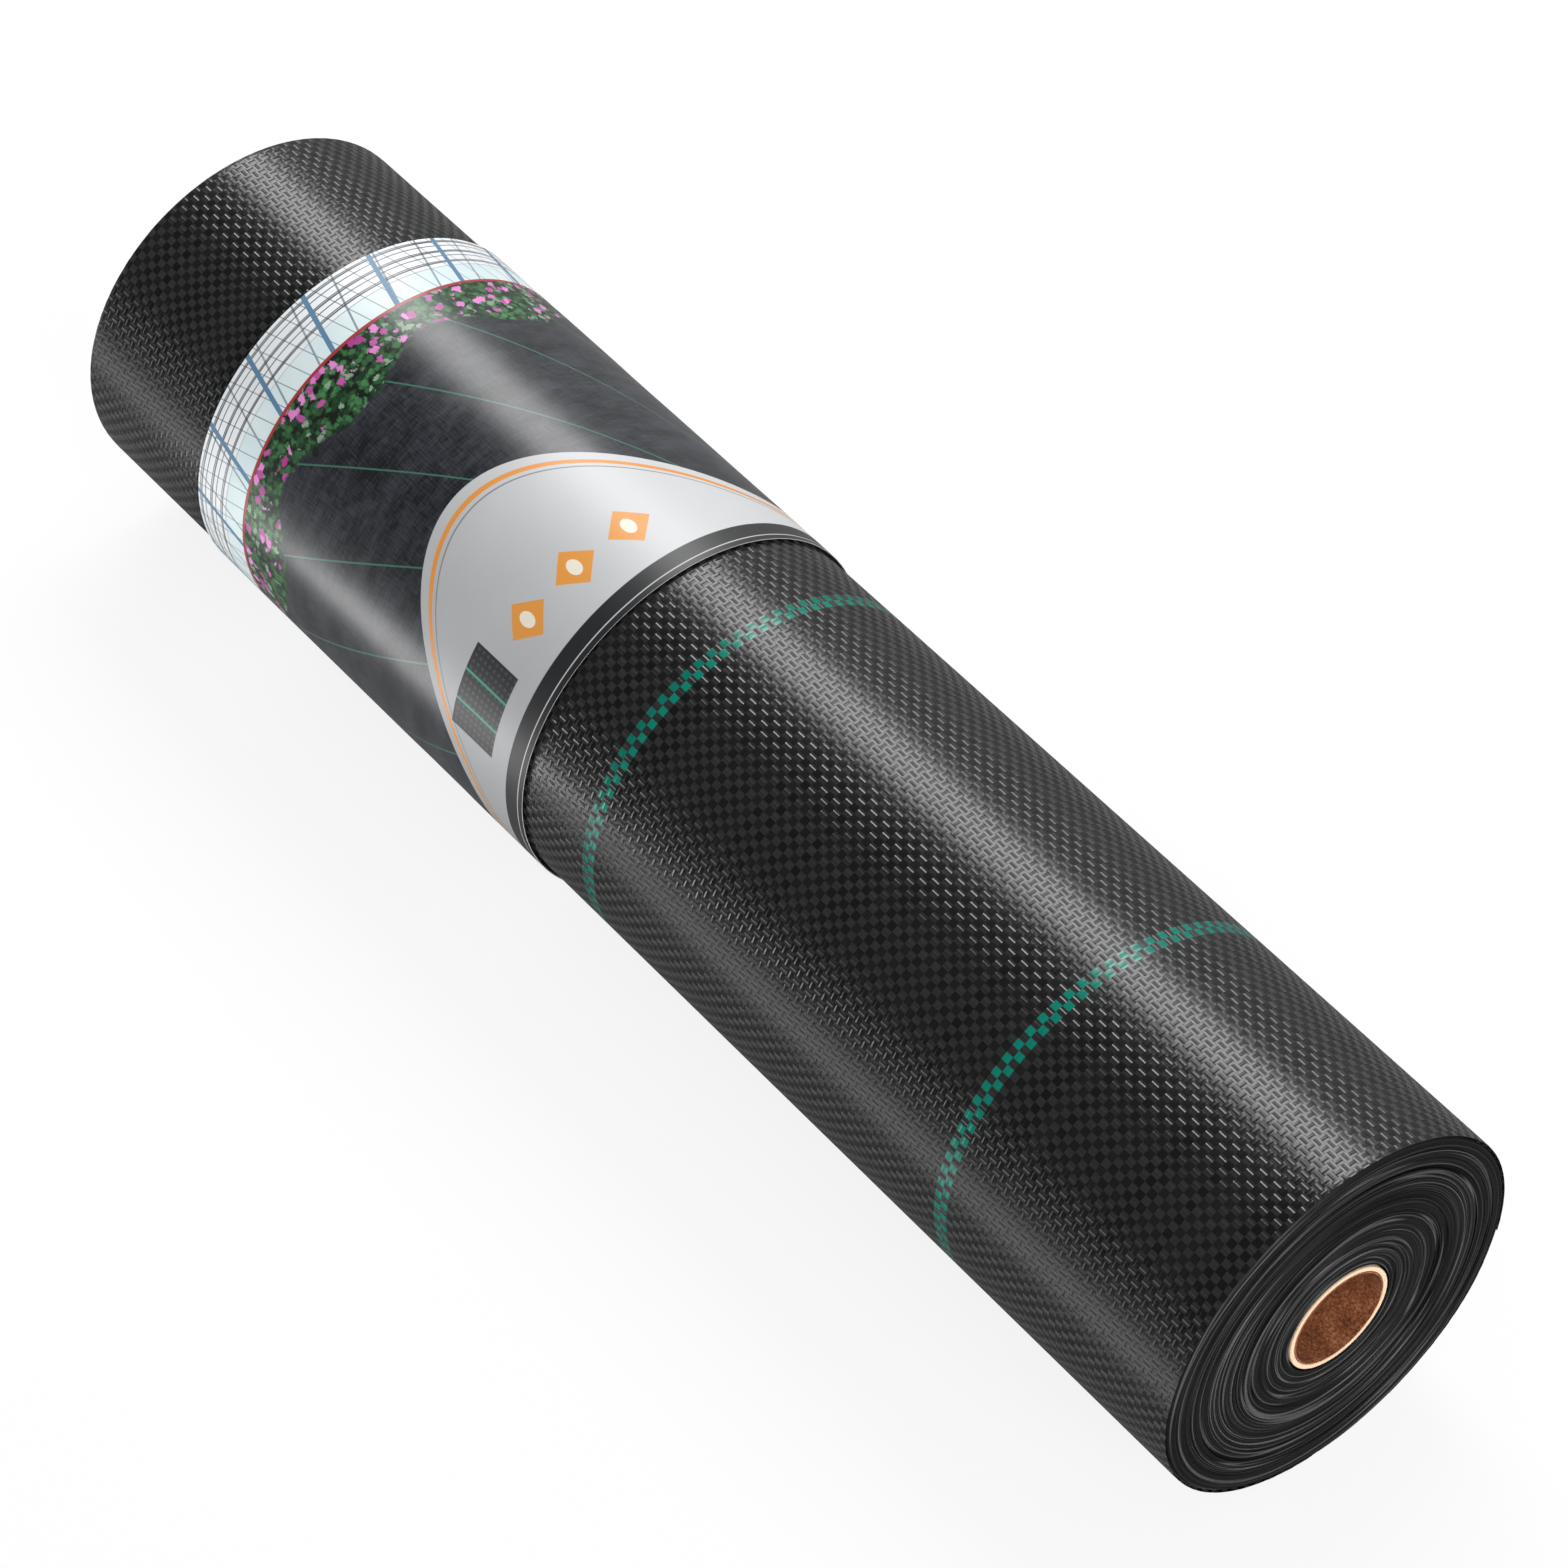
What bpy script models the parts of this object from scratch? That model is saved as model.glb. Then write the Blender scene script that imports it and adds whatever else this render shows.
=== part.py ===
# Roll of woven ground cover cloth on a cardboard tube, with a printed paper sleeve.
# Metres, +Z up. The roll lies along X: its near end is at +X, its far end at -X,
# and the origin is on the ground below its middle.
# Angles round the roll are in degrees from straight up, positive towards +Y. They
# are counted on from turn to turn, so the cloth winds on from its free edge downwards.

import math

import bmesh
import bpy
from mathutils import Vector

# The roll
roll_length = 1.000
roll_radius = 0.1207
press_depth = 0.0005  # how deep the cloth is pressed flat where the roll lies on the ground
turn_facets = 72  # flats round one full turn
sharp_angle = 30.0  # edges sharper than this show as edges

# Clearances
piece_gap = 0.0003  # between pieces that touch on the real roll
cut_overrun = 0.004  # how far a cutter runs past what it cuts

# Core tube
core_radius = 0.0345
core_wall = 0.0040
liner_wall = 0.0008
core_edge = 0.0005  # chamfer on the rims of the tube
liner_edge = 0.0002
core_facets = 48

# Strip of tape that holds the cloth's first edge on the core
start_tape_width = 0.050  # round the core
start_tape_inset = 0.030  # from each end of the roll
start_tape_thickness = 0.0002
start_tape_angle = 200.0

# Cloth
cloth_thickness = 0.00042
layers_as_one = 2  # layers of cloth drawn as one in the outer turn
lap_gap = 0.00045  # between the free end and the turn below it
rim_inset = 0.0015  # how far the outer turn stops short of the inner turns
rim_chamfer = 0.0030  # on the inner turns, along the roll
rim_drop = 0.0020  # on the inner turns, towards the axis

# Where the cloth lies, in degrees round the roll
free_edge_angle = 100.0
free_root_angle = 62.0  # where the free end can be lifted from
dive_angle = 28.0  # stretch over which the cloth dips to pass below the free edge
dive_margin_angle = 2.0  # the dip is complete this far before the free edge
tuck_angle = 50.0  # how far the cloth runs on below the free end
ledge_angle = 0.5  # slope of the ledge in the inner turns

# Green marker tapes, woven into the cloth in pairs
marker_inset = 0.185  # from the near end to the middle of the first line
marker_spacing = 0.312
marker_width = 0.0050  # of one tape
marker_thickness = 0.0002
marker_sink = 0.0001  # below the face of the cloth

# Clear tape that holds the free end
end_tape_width = 0.048  # along the roll
end_tape_length = 0.060  # round the roll, half of it past the free edge
end_tape_thickness = 0.0002
end_tape_inset = 0.060  # from an end of the roll, or from the sleeve
end_tape_step = 0.0020  # in which the tape steps down from the free edge

# Printed paper sleeve
label_clearance = 0.059  # from the middle of the second marker line to the near edge
label_width = 0.323
label_paper = 0.0005
label_stand_off = 0.0020  # air between cloth and paper, away from the ground
label_lap_length = 0.030
label_lap_angle = 130.0  # where the outer edge of the lap lies
label_lap_step = 0.010  # in which the paper steps in below its own lap
label_play = 0.0030  # from the sleeve's near edge to where the cloth comes down
label_ramp = 0.0020  # in which the underside of the cloth comes down to the ground
glue_width = 0.015
glue_thickness = 0.0002

# Sizes worked out from those above
full_turn = 360.0
near_x = roll_length / 2
far_x = -near_x
axis_height = roll_radius - press_depth
sheet_thickness = cloth_thickness * layers_as_one
winding_bore = core_radius + start_tape_thickness + 2 * piece_gap
inner_end_angle = tuck_angle - full_turn
dip_end_angle = free_edge_angle - full_turn + dive_margin_angle
cloth_near_x = near_x - rim_inset
cloth_far_x = far_x + rim_inset
marker_offset = (marker_width + piece_gap) / 2
groove_half = marker_offset + marker_width / 2 + piece_gap
groove_depth = marker_sink + marker_thickness + piece_gap
label_radius = roll_radius + label_stand_off + label_paper
label_near_x = near_x - marker_inset - marker_spacing - label_clearance
label_far_x = label_near_x - label_width
label_level = label_paper + piece_gap  # underside of the cloth above the sleeve
lap_drop = label_paper + glue_thickness + 2 * piece_gap

# Looks: name, base colour, roughness
black_cloth = ("black_cloth", (0.030, 0.031, 0.032), 0.45)
green_tape = ("green_tape", (0.000, 0.160, 0.105), 0.45)
core_board = ("core_board", (0.90, 0.66, 0.42), 0.85)
kraft_liner = ("kraft_liner", (0.27, 0.095, 0.035), 0.90)
clear_film = ("clear_film", (0.55, 0.55, 0.52), 0.15)
printed_paper = ("printed_paper", (0.62, 0.64, 0.66), 0.40)
glue_strip = ("glue_strip", (0.75, 0.72, 0.60), 0.50)


# Scene helpers


def clear_scene():
    for old in list(bpy.data.objects):
        bpy.data.objects.remove(old, do_unlink=True)


def new_collection(name):
    collection = bpy.data.collections.new(name)
    bpy.context.scene.collection.children.link(collection)
    return collection


def material(look):
    name, colour, roughness = look
    made = bpy.data.materials.new(name)
    made.use_nodes = True
    shader = made.node_tree.nodes["Principled BSDF"]
    shader.inputs["Base Color"].default_value = (*colour, 1.0)
    shader.inputs["Roughness"].default_value = roughness
    shader.inputs["Metallic"].default_value = 0.0
    return made


def add_object(name, shape, look, collection, pivot=None):
    """Makes an object of a bmesh in world places, with its origin at the pivot."""
    pivot = pivot or Vector((0, 0, axis_height))
    bmesh.ops.translate(shape, verts=shape.verts, vec=-pivot)
    mesh = bpy.data.meshes.new(name)
    shape.to_mesh(mesh)
    shape.free()
    mesh.materials.append(bpy.data.materials.get(look[0]) or material(look))
    made = bpy.data.objects.new(name, mesh)
    made.location = pivot
    collection.objects.link(made)
    return made


def settle(parts):
    """Applies each piece's modifiers, then shades its round faces smooth."""
    graph = bpy.context.evaluated_depsgraph_get()
    for made in list(parts.objects):
        mesh = bpy.data.meshes.new_from_object(made.evaluated_get(graph))
        made.modifiers.clear()
        made.data = mesh
        mesh.name = made.name
        mesh.shade_smooth()
        mesh.set_sharp_from_angle(angle=math.radians(sharp_angle))


# Places round the roll


def arc_angle(length, radius):
    return math.degrees(length / radius)


def place(x, radius, angle):
    turn = math.radians(angle)
    return Vector((x, radius * math.sin(turn), axis_height + radius * math.cos(turn)))


def ease(share):
    share = min(max(share, 0), 1)
    return share * share * (3 - 2 * share)


def pressed(radius, angle, level):
    """The radius of a round face that is pressed flat at a level above the ground."""
    down = -math.cos(math.radians(angle))
    reach = axis_height - level
    return reach / down if down * radius > reach else radius


def turn_radius(angle):
    """Outer radius of the outer turn, which dips to pass below its own free edge."""
    done = ease((dip_end_angle + dive_angle - angle) / dive_angle)
    return roll_radius - (sheet_thickness + lap_gap) * done


def winding_radius(angle):
    """Outer radius of the inner turns, with the ledge that the outer turn comes from."""
    unwound = inner_end_angle + (angle - inner_end_angle) % full_turn
    return turn_radius(unwound) - sheet_thickness - piece_gap


def tape_radius(angle):
    """Outer radius of the clear tape, which steps down past the free edge."""
    step_start = free_edge_angle + arc_angle(piece_gap, roll_radius)
    past_edge = math.radians(angle - step_start) * roll_radius
    share = min(max(past_edge / end_tape_step, 0), 1)
    below = turn_radius(angle - full_turn)
    return roll_radius + (below - roll_radius) * share + piece_gap + end_tape_thickness


def paper_radius(angle):
    """Outer radius of the paper, which steps in below its own lap."""
    lap_edge = label_lap_angle - full_turn + arc_angle(piece_gap, label_radius)
    before_edge = math.radians(angle - lap_edge) * label_radius
    return label_radius - lap_drop * ease(1 - before_edge / label_lap_step)


def ground_level(x):
    return 0


def cloth_level(x):
    """Height of the cloth's underside: on the ground, or above the sleeve's paper."""
    share = min(max((cloth_step_x - x) / label_ramp, 0), 1)
    return label_level * share


def angles_between(first, last, facets=turn_facets, marks=()):
    """Angles from first down to last, with the facets' corners and any marks between."""
    step = full_turn / facets
    apart = ledge_angle / 2
    fixed = [first, last, *(a for a in marks if last < a < first)]
    corners = (k * step for k in range(math.floor(last / step), math.ceil(first / step) + 1))
    inside = [a for a in corners if last < a < first and all(abs(a - b) > apart for b in fixed)]
    return sorted(fixed + inside, reverse=True)


# Places along the roll


def marker_lines():
    """Numbers and middles of the marker lines, the first at the near end."""
    room = rim_inset + rim_chamfer + groove_half
    count = int((roll_length - marker_inset - room) // marker_spacing) + 1
    return [(k + 1, near_x - marker_inset - k * marker_spacing) for k in range(count)]


def past_markers(x, reach):
    """A place along the roll, moved towards the near end past a marker line it meets."""
    room = groove_half + reach
    for number, line in marker_lines():
        if abs(x - line) < room:
            return line + room
    return x


cloth_step_x = past_markers(label_near_x + label_play + label_ramp, label_ramp + piece_gap)
flap_side_x = cloth_step_x + 2 * piece_gap


def cloth_columns(start, end, steps=()):
    """Columns of a cloth sheet along the roll, each with its depth: it has the grooves."""
    columns = [(start, 0), *((x, 0) for x in steps), (end, 0)]
    for number, line in marker_lines():
        low, high = line - groove_half, line + groove_half
        if start < low and high < end:
            columns += [(low, 0), (low, groove_depth), (high, groove_depth), (high, 0)]
    return sorted(columns, key=lambda column: column[0])


def plain_columns(start, end):
    return [(start, 0), (end, 0)]


# Makers of shapes


def wrapped_sheet(name, columns, angles, radius_at, thickness, look, parts,
                  level_at=ground_level, present=None, pivot=None):
    """A sheet wrapped round the roll, without the cells that aren't present."""
    shape = bmesh.new()

    def corner(row, column, depth):
        x, angle = columns[column][0], angles[row]
        radius = pressed(radius_at(angle) - depth, angle, level_at(x) + depth)
        return shape.verts.new(place(x, radius, angle))

    places = [(row, column) for row in range(len(angles)) for column in range(len(columns))]
    outer = {p: corner(*p, columns[p[1]][1]) for p in places}
    inner = {p: corner(*p, thickness) for p in places}
    rims = set()
    for row, column in places:
        if (row + 1, column + 1) not in outer or (present and not present(row, column)):
            continue
        loop = [(row, column), (row + 1, column), (row + 1, column + 1), (row, column + 1)]
        shape.faces.new([outer[p] for p in loop])
        shape.faces.new([inner[p] for p in reversed(loop)])
        for side in zip(loop, loop[1:] + loop[:1]):
            if side[::-1] in rims:
                rims.remove(side[::-1])
            else:
                rims.add(side)
    for start, end in sorted(rims):
        shape.faces.new([outer[end], outer[start], inner[start], inner[end]])
    loose = [v for v in shape.verts if not v.link_faces]
    bmesh.ops.delete(shape, geom=loose, context="VERTS")
    bmesh.ops.remove_doubles(shape, verts=shape.verts, dist=piece_gap / 100)
    return add_object(name, shape, look, parts, pivot)


def turned_tube(name, outer, wall, edge, look, parts):
    """A tube about the roll's axis, turned from the outline of its wall."""
    inner = outer - wall
    outline = [
        (far_x + edge, outer), (far_x, outer - edge), (far_x, inner + edge), (far_x + edge, inner),
        (near_x - edge, inner), (near_x, inner + edge), (near_x, outer - edge), (near_x - edge, outer),
    ]
    profile = bmesh.new()
    points = [profile.verts.new(place(x, radius, 0)) for x, radius in outline]
    for start, end in zip(points, points[1:] + points[:1]):
        profile.edges.new((start, end))
    made = add_object(name, profile, look, parts)
    turn = made.modifiers.new("turn", "SCREW")
    turn.axis = "X"
    turn.angle = math.radians(full_turn)
    turn.steps = core_facets
    turn.render_steps = core_facets
    turn.use_merge_vertices = True
    turn.merge_threshold = piece_gap / 100
    turn.use_normal_calculate = True


# The pieces


def make_core(parts):
    body_wall = core_wall - liner_wall - piece_gap
    turned_tube("core_tube", core_radius, body_wall, core_edge, core_board, parts)
    liner_radius = core_radius - body_wall - piece_gap
    turned_tube("core_liner", liner_radius, liner_wall, liner_edge, kraft_liner, parts)


def make_start_tape(parts):
    outer = core_radius + piece_gap + start_tape_thickness
    half = arc_angle(start_tape_width / 2, outer)
    angles = angles_between(start_tape_angle + half, start_tape_angle - half, core_facets)
    columns = plain_columns(far_x + start_tape_inset, near_x - start_tape_inset)
    wrapped_sheet("start_tape", columns, angles, lambda a: outer, start_tape_thickness, clear_film, parts)


def make_winding(parts, cutters):
    """The inner turns as one body, whose outline follows the inside of the outer turn."""
    first = inner_end_angle + full_turn - ledge_angle
    angles = angles_between(first, inner_end_angle)
    stations = [
        (far_x, rim_drop),
        (far_x + rim_chamfer, 0),
        (cloth_step_x, 0),
        (cloth_step_x + label_ramp, 0),
        (near_x - rim_chamfer, 0),
        (near_x, rim_drop),
    ]
    shape = bmesh.new()
    rings = []
    for x, drop in stations:
        level = cloth_level(x - label_ramp) + sheet_thickness + piece_gap  # ramp past the outer turn's
        radii = [pressed(winding_radius(a), a, level) - drop for a in angles]
        rings.append([shape.verts.new(place(x, r, a)) for r, a in zip(radii, angles)])
    for ring, following in zip(rings, rings[1:]):
        for here in range(len(angles)):
            there = (here + 1) % len(angles)
            shape.faces.new((ring[here], ring[there], following[there], following[here]))
    shape.faces.new(rings[0])
    shape.faces.new(rings[-1])
    bmesh.ops.recalc_face_normals(shape, faces=shape.faces)
    winding = add_object("fabric_winding", shape, black_cloth, parts)
    bore = winding.modifiers.new("bore", "BOOLEAN")
    bore.operation = "DIFFERENCE"
    bore.solver = "EXACT"
    bore.object = bore_cutter(cutters)


def bore_cutter(cutters):
    bpy.ops.mesh.primitive_cylinder_add(
        vertices=core_facets,
        radius=winding_bore,
        depth=roll_length + 2 * cut_overrun,
        location=(0, 0, axis_height),
        rotation=(0, math.radians(90), 0),
    )
    cutter = bpy.context.object
    cutter.name = "bore_cutter"
    cutter.hide_render = True
    cutter.display_type = "WIRE"
    cutter.users_collection[0].objects.unlink(cutter)
    cutters.objects.link(cutter)
    return cutter


def make_outer_turn(parts):
    """The outer turn: one unbroken sheet that winds on below its own free edge."""
    slit = arc_angle(piece_gap, roll_radius)
    root, last = free_root_angle - slit, inner_end_angle + slit
    side = flap_side_x - piece_gap
    columns = cloth_columns(cloth_far_x, cloth_near_x, (cloth_step_x - label_ramp, cloth_step_x, side))
    angles = angles_between(free_edge_angle, last, marks=(root,))

    def present(row, column):
        return angles[row] <= root or columns[column][0] < side

    wrapped_sheet(
        "fabric_outer_turn", columns, angles, turn_radius, sheet_thickness, black_cloth, parts,
        level_at=cloth_level, present=present,
    )
    for number, line in marker_lines():
        first = root if line > side else free_edge_angle
        marker_pair("marker_tape", number, line, angles_between(first, last), parts)


def marker_pair(prefix, number, line, angles, parts, pivot=None):
    """The two green tapes of a marker line, side by side in their groove."""
    for letter, middle in (("a", line + marker_offset), ("b", line - marker_offset)):
        columns = plain_columns(middle - marker_width / 2, middle + marker_width / 2)
        wrapped_sheet(
            f"{prefix}_{number}{letter}", columns, angles, lambda a: turn_radius(a) - marker_sink,
            marker_thickness, green_tape, parts, level_at=lambda x: cloth_level(x) + marker_sink,
            pivot=pivot,
        )


def make_free_end(parts):
    """The part of the free end that lifts, and its tapes, with origins on its hinge line."""
    pivot = place(0, roll_radius, free_root_angle)
    angles = angles_between(free_edge_angle, free_root_angle)
    wrapped_sheet(
        "free_end_flap", cloth_columns(flap_side_x, cloth_near_x), angles, turn_radius,
        sheet_thickness, black_cloth, parts, pivot=pivot,
    )
    for number, line in marker_lines():
        if line > flap_side_x:
            marker_pair("free_marker_tape", number, line, angles, parts, pivot)
    clear_tape("end_tape_near", near_x - end_tape_inset, parts, pivot)
    clear_tape("end_tape_middle", flap_side_x + end_tape_inset, parts, pivot)
    clear_tape("end_tape_far", far_x + end_tape_inset, parts)


def clear_tape(name, middle, parts, pivot=None):
    """A strip of clear tape over the free edge, half of it on the turn below."""
    half = arc_angle(end_tape_length / 2, roll_radius)
    step_start = free_edge_angle + arc_angle(piece_gap, roll_radius)
    step_end = step_start + arc_angle(end_tape_step, roll_radius)
    angles = angles_between(free_edge_angle + half, free_edge_angle - half, marks=(step_end, step_start))
    columns = plain_columns(middle - end_tape_width / 2, middle + end_tape_width / 2)
    wrapped_sheet(name, columns, angles, tape_radius, end_tape_thickness, clear_film, parts, pivot=pivot)


def make_label(parts):
    """The paper sleeve, one sheet that laps over its own end, and the glue in the lap."""
    step_end = label_lap_angle - full_turn + arc_angle(piece_gap, label_radius)
    step_start = step_end + arc_angle(label_lap_step, label_radius)
    last = label_lap_angle - full_turn - arc_angle(label_lap_length, label_radius)
    columns = plain_columns(label_far_x, label_near_x)
    angles = angles_between(label_lap_angle, last, marks=(step_start, step_end))
    wrapped_sheet("label_sleeve", columns, angles, paper_radius, label_paper, printed_paper, parts)
    middle = label_lap_angle - arc_angle(label_lap_length / 2, label_radius)
    half = arc_angle(glue_width / 2, label_radius)
    outer = label_radius - label_paper - piece_gap
    angles = angles_between(middle + half, middle - half)
    wrapped_sheet("label_glue_strip", columns, angles, lambda a: outer, glue_thickness, glue_strip, parts)


def least_gap_to_itself():
    """Least gap between the free end and the turn that winds on below it, on their points."""
    uppers = angles_between(free_edge_angle, tuck_angle)
    inner = [place(0, turn_radius(a) - sheet_thickness, a) for a in uppers]
    outer = [place(0, turn_radius(a - full_turn), a) for a in uppers]
    gaps = []
    for point in inner:
        for start, end in zip(outer, outer[1:]):
            along = end - start
            share = min(max((point - start).dot(along) / along.length_squared, 0), 1)
            gaps.append((point - start - along * share).length)
    return min(gaps)


def main():
    clear_scene()
    parts = new_collection("weed_control_fabric_roll")
    cutters = new_collection("cutters")
    make_core(parts)
    make_start_tape(parts)
    make_winding(parts, cutters)
    make_outer_turn(parts)
    make_free_end(parts)
    make_label(parts)
    settle(parts)
    print(f"Least gap of the outer turn to itself: {least_gap_to_itself() * 1000:.2f} mm")


main()
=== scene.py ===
# Looks of the roll of woven ground cover cloth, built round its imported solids.
# Metres, +Z up, in the solids' own frame. Angles round the roll are in degrees from
# straight up, positive towards +Y, and count down as the cloth winds on from its free edge.
import math

import bmesh
import bpy
import numpy as np
from mathutils import Matrix, Vector


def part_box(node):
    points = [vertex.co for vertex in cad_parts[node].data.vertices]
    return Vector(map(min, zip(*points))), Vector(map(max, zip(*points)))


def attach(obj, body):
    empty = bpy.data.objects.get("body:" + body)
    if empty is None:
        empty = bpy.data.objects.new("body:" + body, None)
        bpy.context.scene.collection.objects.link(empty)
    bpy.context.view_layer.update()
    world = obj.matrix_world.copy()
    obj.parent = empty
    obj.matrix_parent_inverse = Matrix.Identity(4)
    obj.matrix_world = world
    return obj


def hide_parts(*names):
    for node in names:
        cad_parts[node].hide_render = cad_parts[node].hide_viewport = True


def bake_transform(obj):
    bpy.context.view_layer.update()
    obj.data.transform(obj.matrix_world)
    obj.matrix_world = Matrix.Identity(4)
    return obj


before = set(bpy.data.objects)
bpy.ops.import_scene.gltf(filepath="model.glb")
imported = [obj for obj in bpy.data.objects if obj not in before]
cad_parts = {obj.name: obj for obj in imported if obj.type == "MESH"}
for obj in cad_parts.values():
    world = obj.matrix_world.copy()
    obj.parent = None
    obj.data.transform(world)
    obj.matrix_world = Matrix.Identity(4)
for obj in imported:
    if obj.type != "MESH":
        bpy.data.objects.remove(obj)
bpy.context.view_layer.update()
print("frame loaded")

fullTurn = 360.0
nearZero = 1e-6  # metres, below which two places are one
sharpAngle = 35.0  # between faces that are shaded apart
bakeMap = "OFBake"  # a map that fills its square, for baking
surfaceMap = "surface"  # metres along and across, for the patterns


# Camera
view = {
    "place": (1.745884, -1.368677, 2.561684),
    "forward": (-0.524466, 0.418177, -0.741664),
    "up": (-0.579895, 0.462372, 0.670773),
    "lens": 131.906,
    "sensor": 36.0,
}


def makeCamera():
    forward = Vector(view["forward"])
    up = Vector(view["up"])
    axes = Matrix((forward.cross(up), up, -forward)).transposed()
    data = bpy.data.cameras.new("camera")
    data.lens = view["lens"]
    data.sensor_width = view["sensor"]
    camera = bpy.data.objects.new("camera", data)
    camera.matrix_world = Matrix.LocRotScale(Vector(view["place"]), axes, None)
    bpy.context.collection.objects.link(camera)
    bpy.context.scene.camera = camera


makeCamera()
print("camera placed")


# Sizes of the roll, read from the frame
turnLow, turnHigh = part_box("fabric_outer_turn")
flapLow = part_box("free_end_flap")[0]
sleeveLow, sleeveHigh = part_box("label_sleeve")
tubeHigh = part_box("core_tube")[1]
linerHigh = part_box("core_liner")[1]
rollRadius = -turnLow.y
axisHeight = turnHigh.z - rollRadius
markerLines = [
    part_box(f"marker_tape_{n}b")[1].x / 2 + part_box(f"marker_tape_{n}a")[0].x / 2 for n in (1, 2, 3)
]

# How the cloth lies, as in the solids
wrap = {
    "freeEdge": 100.0,  # where the cloth ends
    "dive": 28.0,  # the cloth dips in this stretch, to pass below its own end
    "diveMargin": 2.0,
    "tuck": 50.0,  # how far it runs on below the free end
    "layer": 0.00084,
    "lapGap": 0.00045,
    "pieceGap": 0.0003,
    "paper": 0.0005,
    "ramp": 0.0020,
}


def ease(share):
    share = np.clip(share, 0, 1)
    return share * share * (3 - 2 * share)


def pressed(radius, angle, level):
    # a round face, pressed flat at a level above the ground
    down = -np.cos(np.radians(angle))
    reach = axisHeight - level
    return np.where(down * radius > reach, reach / np.maximum(down, nearZero), radius)


def dipped(angle):
    # how far the cloth has dipped, to pass below its own free edge
    start = wrap["freeEdge"] - fullTurn + wrap["diveMargin"] + wrap["dive"]
    return ease((start - angle) / wrap["dive"])


def turnRadius(angle):
    # outer face of the outer turn
    return rollRadius - (wrap["layer"] + wrap["lapGap"]) * dipped(angle)


def clothLevel(x):
    # height of the cloth's underside: on the ground, or above the sleeve's paper
    share = np.clip((flapLow.x - wrap["pieceGap"] * 2 - x) / wrap["ramp"], 0, 1)
    return (wrap["paper"] + wrap["pieceGap"]) * share


def roundPlace(x, radius, angle):
    x, radius, turn = np.broadcast_arrays(x, radius, np.radians(angle))
    return np.stack([x, radius * np.sin(turn), axisHeight + radius * np.cos(turn)], axis=-1)


def clothPlace(x, angle, depth):
    # a place in the cloth, at a depth below its outer face
    radius = pressed(turnRadius(angle) - depth, angle, clothLevel(x) + depth)
    return roundPlace(x, radius, angle)


# Shader helpers
class Wire:
    # a node's output that takes part in sums
    def __init__(self, nodes, plug):
        self.nodes = nodes
        self.plug = plug

    def math(self, operation, *others, clamp=False):
        return self.nodes.add("Math", {"operation": operation, "use_clamp": clamp}, (self, *others))

    def reflected(self, operation, first):
        return self.nodes.add("Math", {"operation": operation}, (first, self))

    def outputs(self, *names):
        # named outputs of the same node
        return [Wire(self.nodes, self.plug.node.outputs[name]) for name in names]

    def spread(self, low, high):
        # a value from 0 to 1, spread between two numbers
        return self * (high - low) + low

    def __add__(self, other):
        return self.math("ADD", other)

    __radd__ = __add__

    def __sub__(self, other):
        return self.math("SUBTRACT", other)

    def __rsub__(self, other):
        return self.reflected("SUBTRACT", other)

    def __mul__(self, other):
        return self.math("MULTIPLY", other)

    __rmul__ = __mul__

    def __truediv__(self, other):
        return self.math("DIVIDE", other)

    def __rtruediv__(self, other):
        return self.reflected("DIVIDE", other)

    def __pow__(self, other):
        return self.math("POWER", other)

    def __rpow__(self, other):
        return self.reflected("POWER", other)

    def __mod__(self, other):
        return self.math("FLOORED_MODULO", other)

    def __rmod__(self, other):
        return self.reflected("FLOORED_MODULO", other)

    def __abs__(self):
        return self.math("ABSOLUTE")


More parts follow.
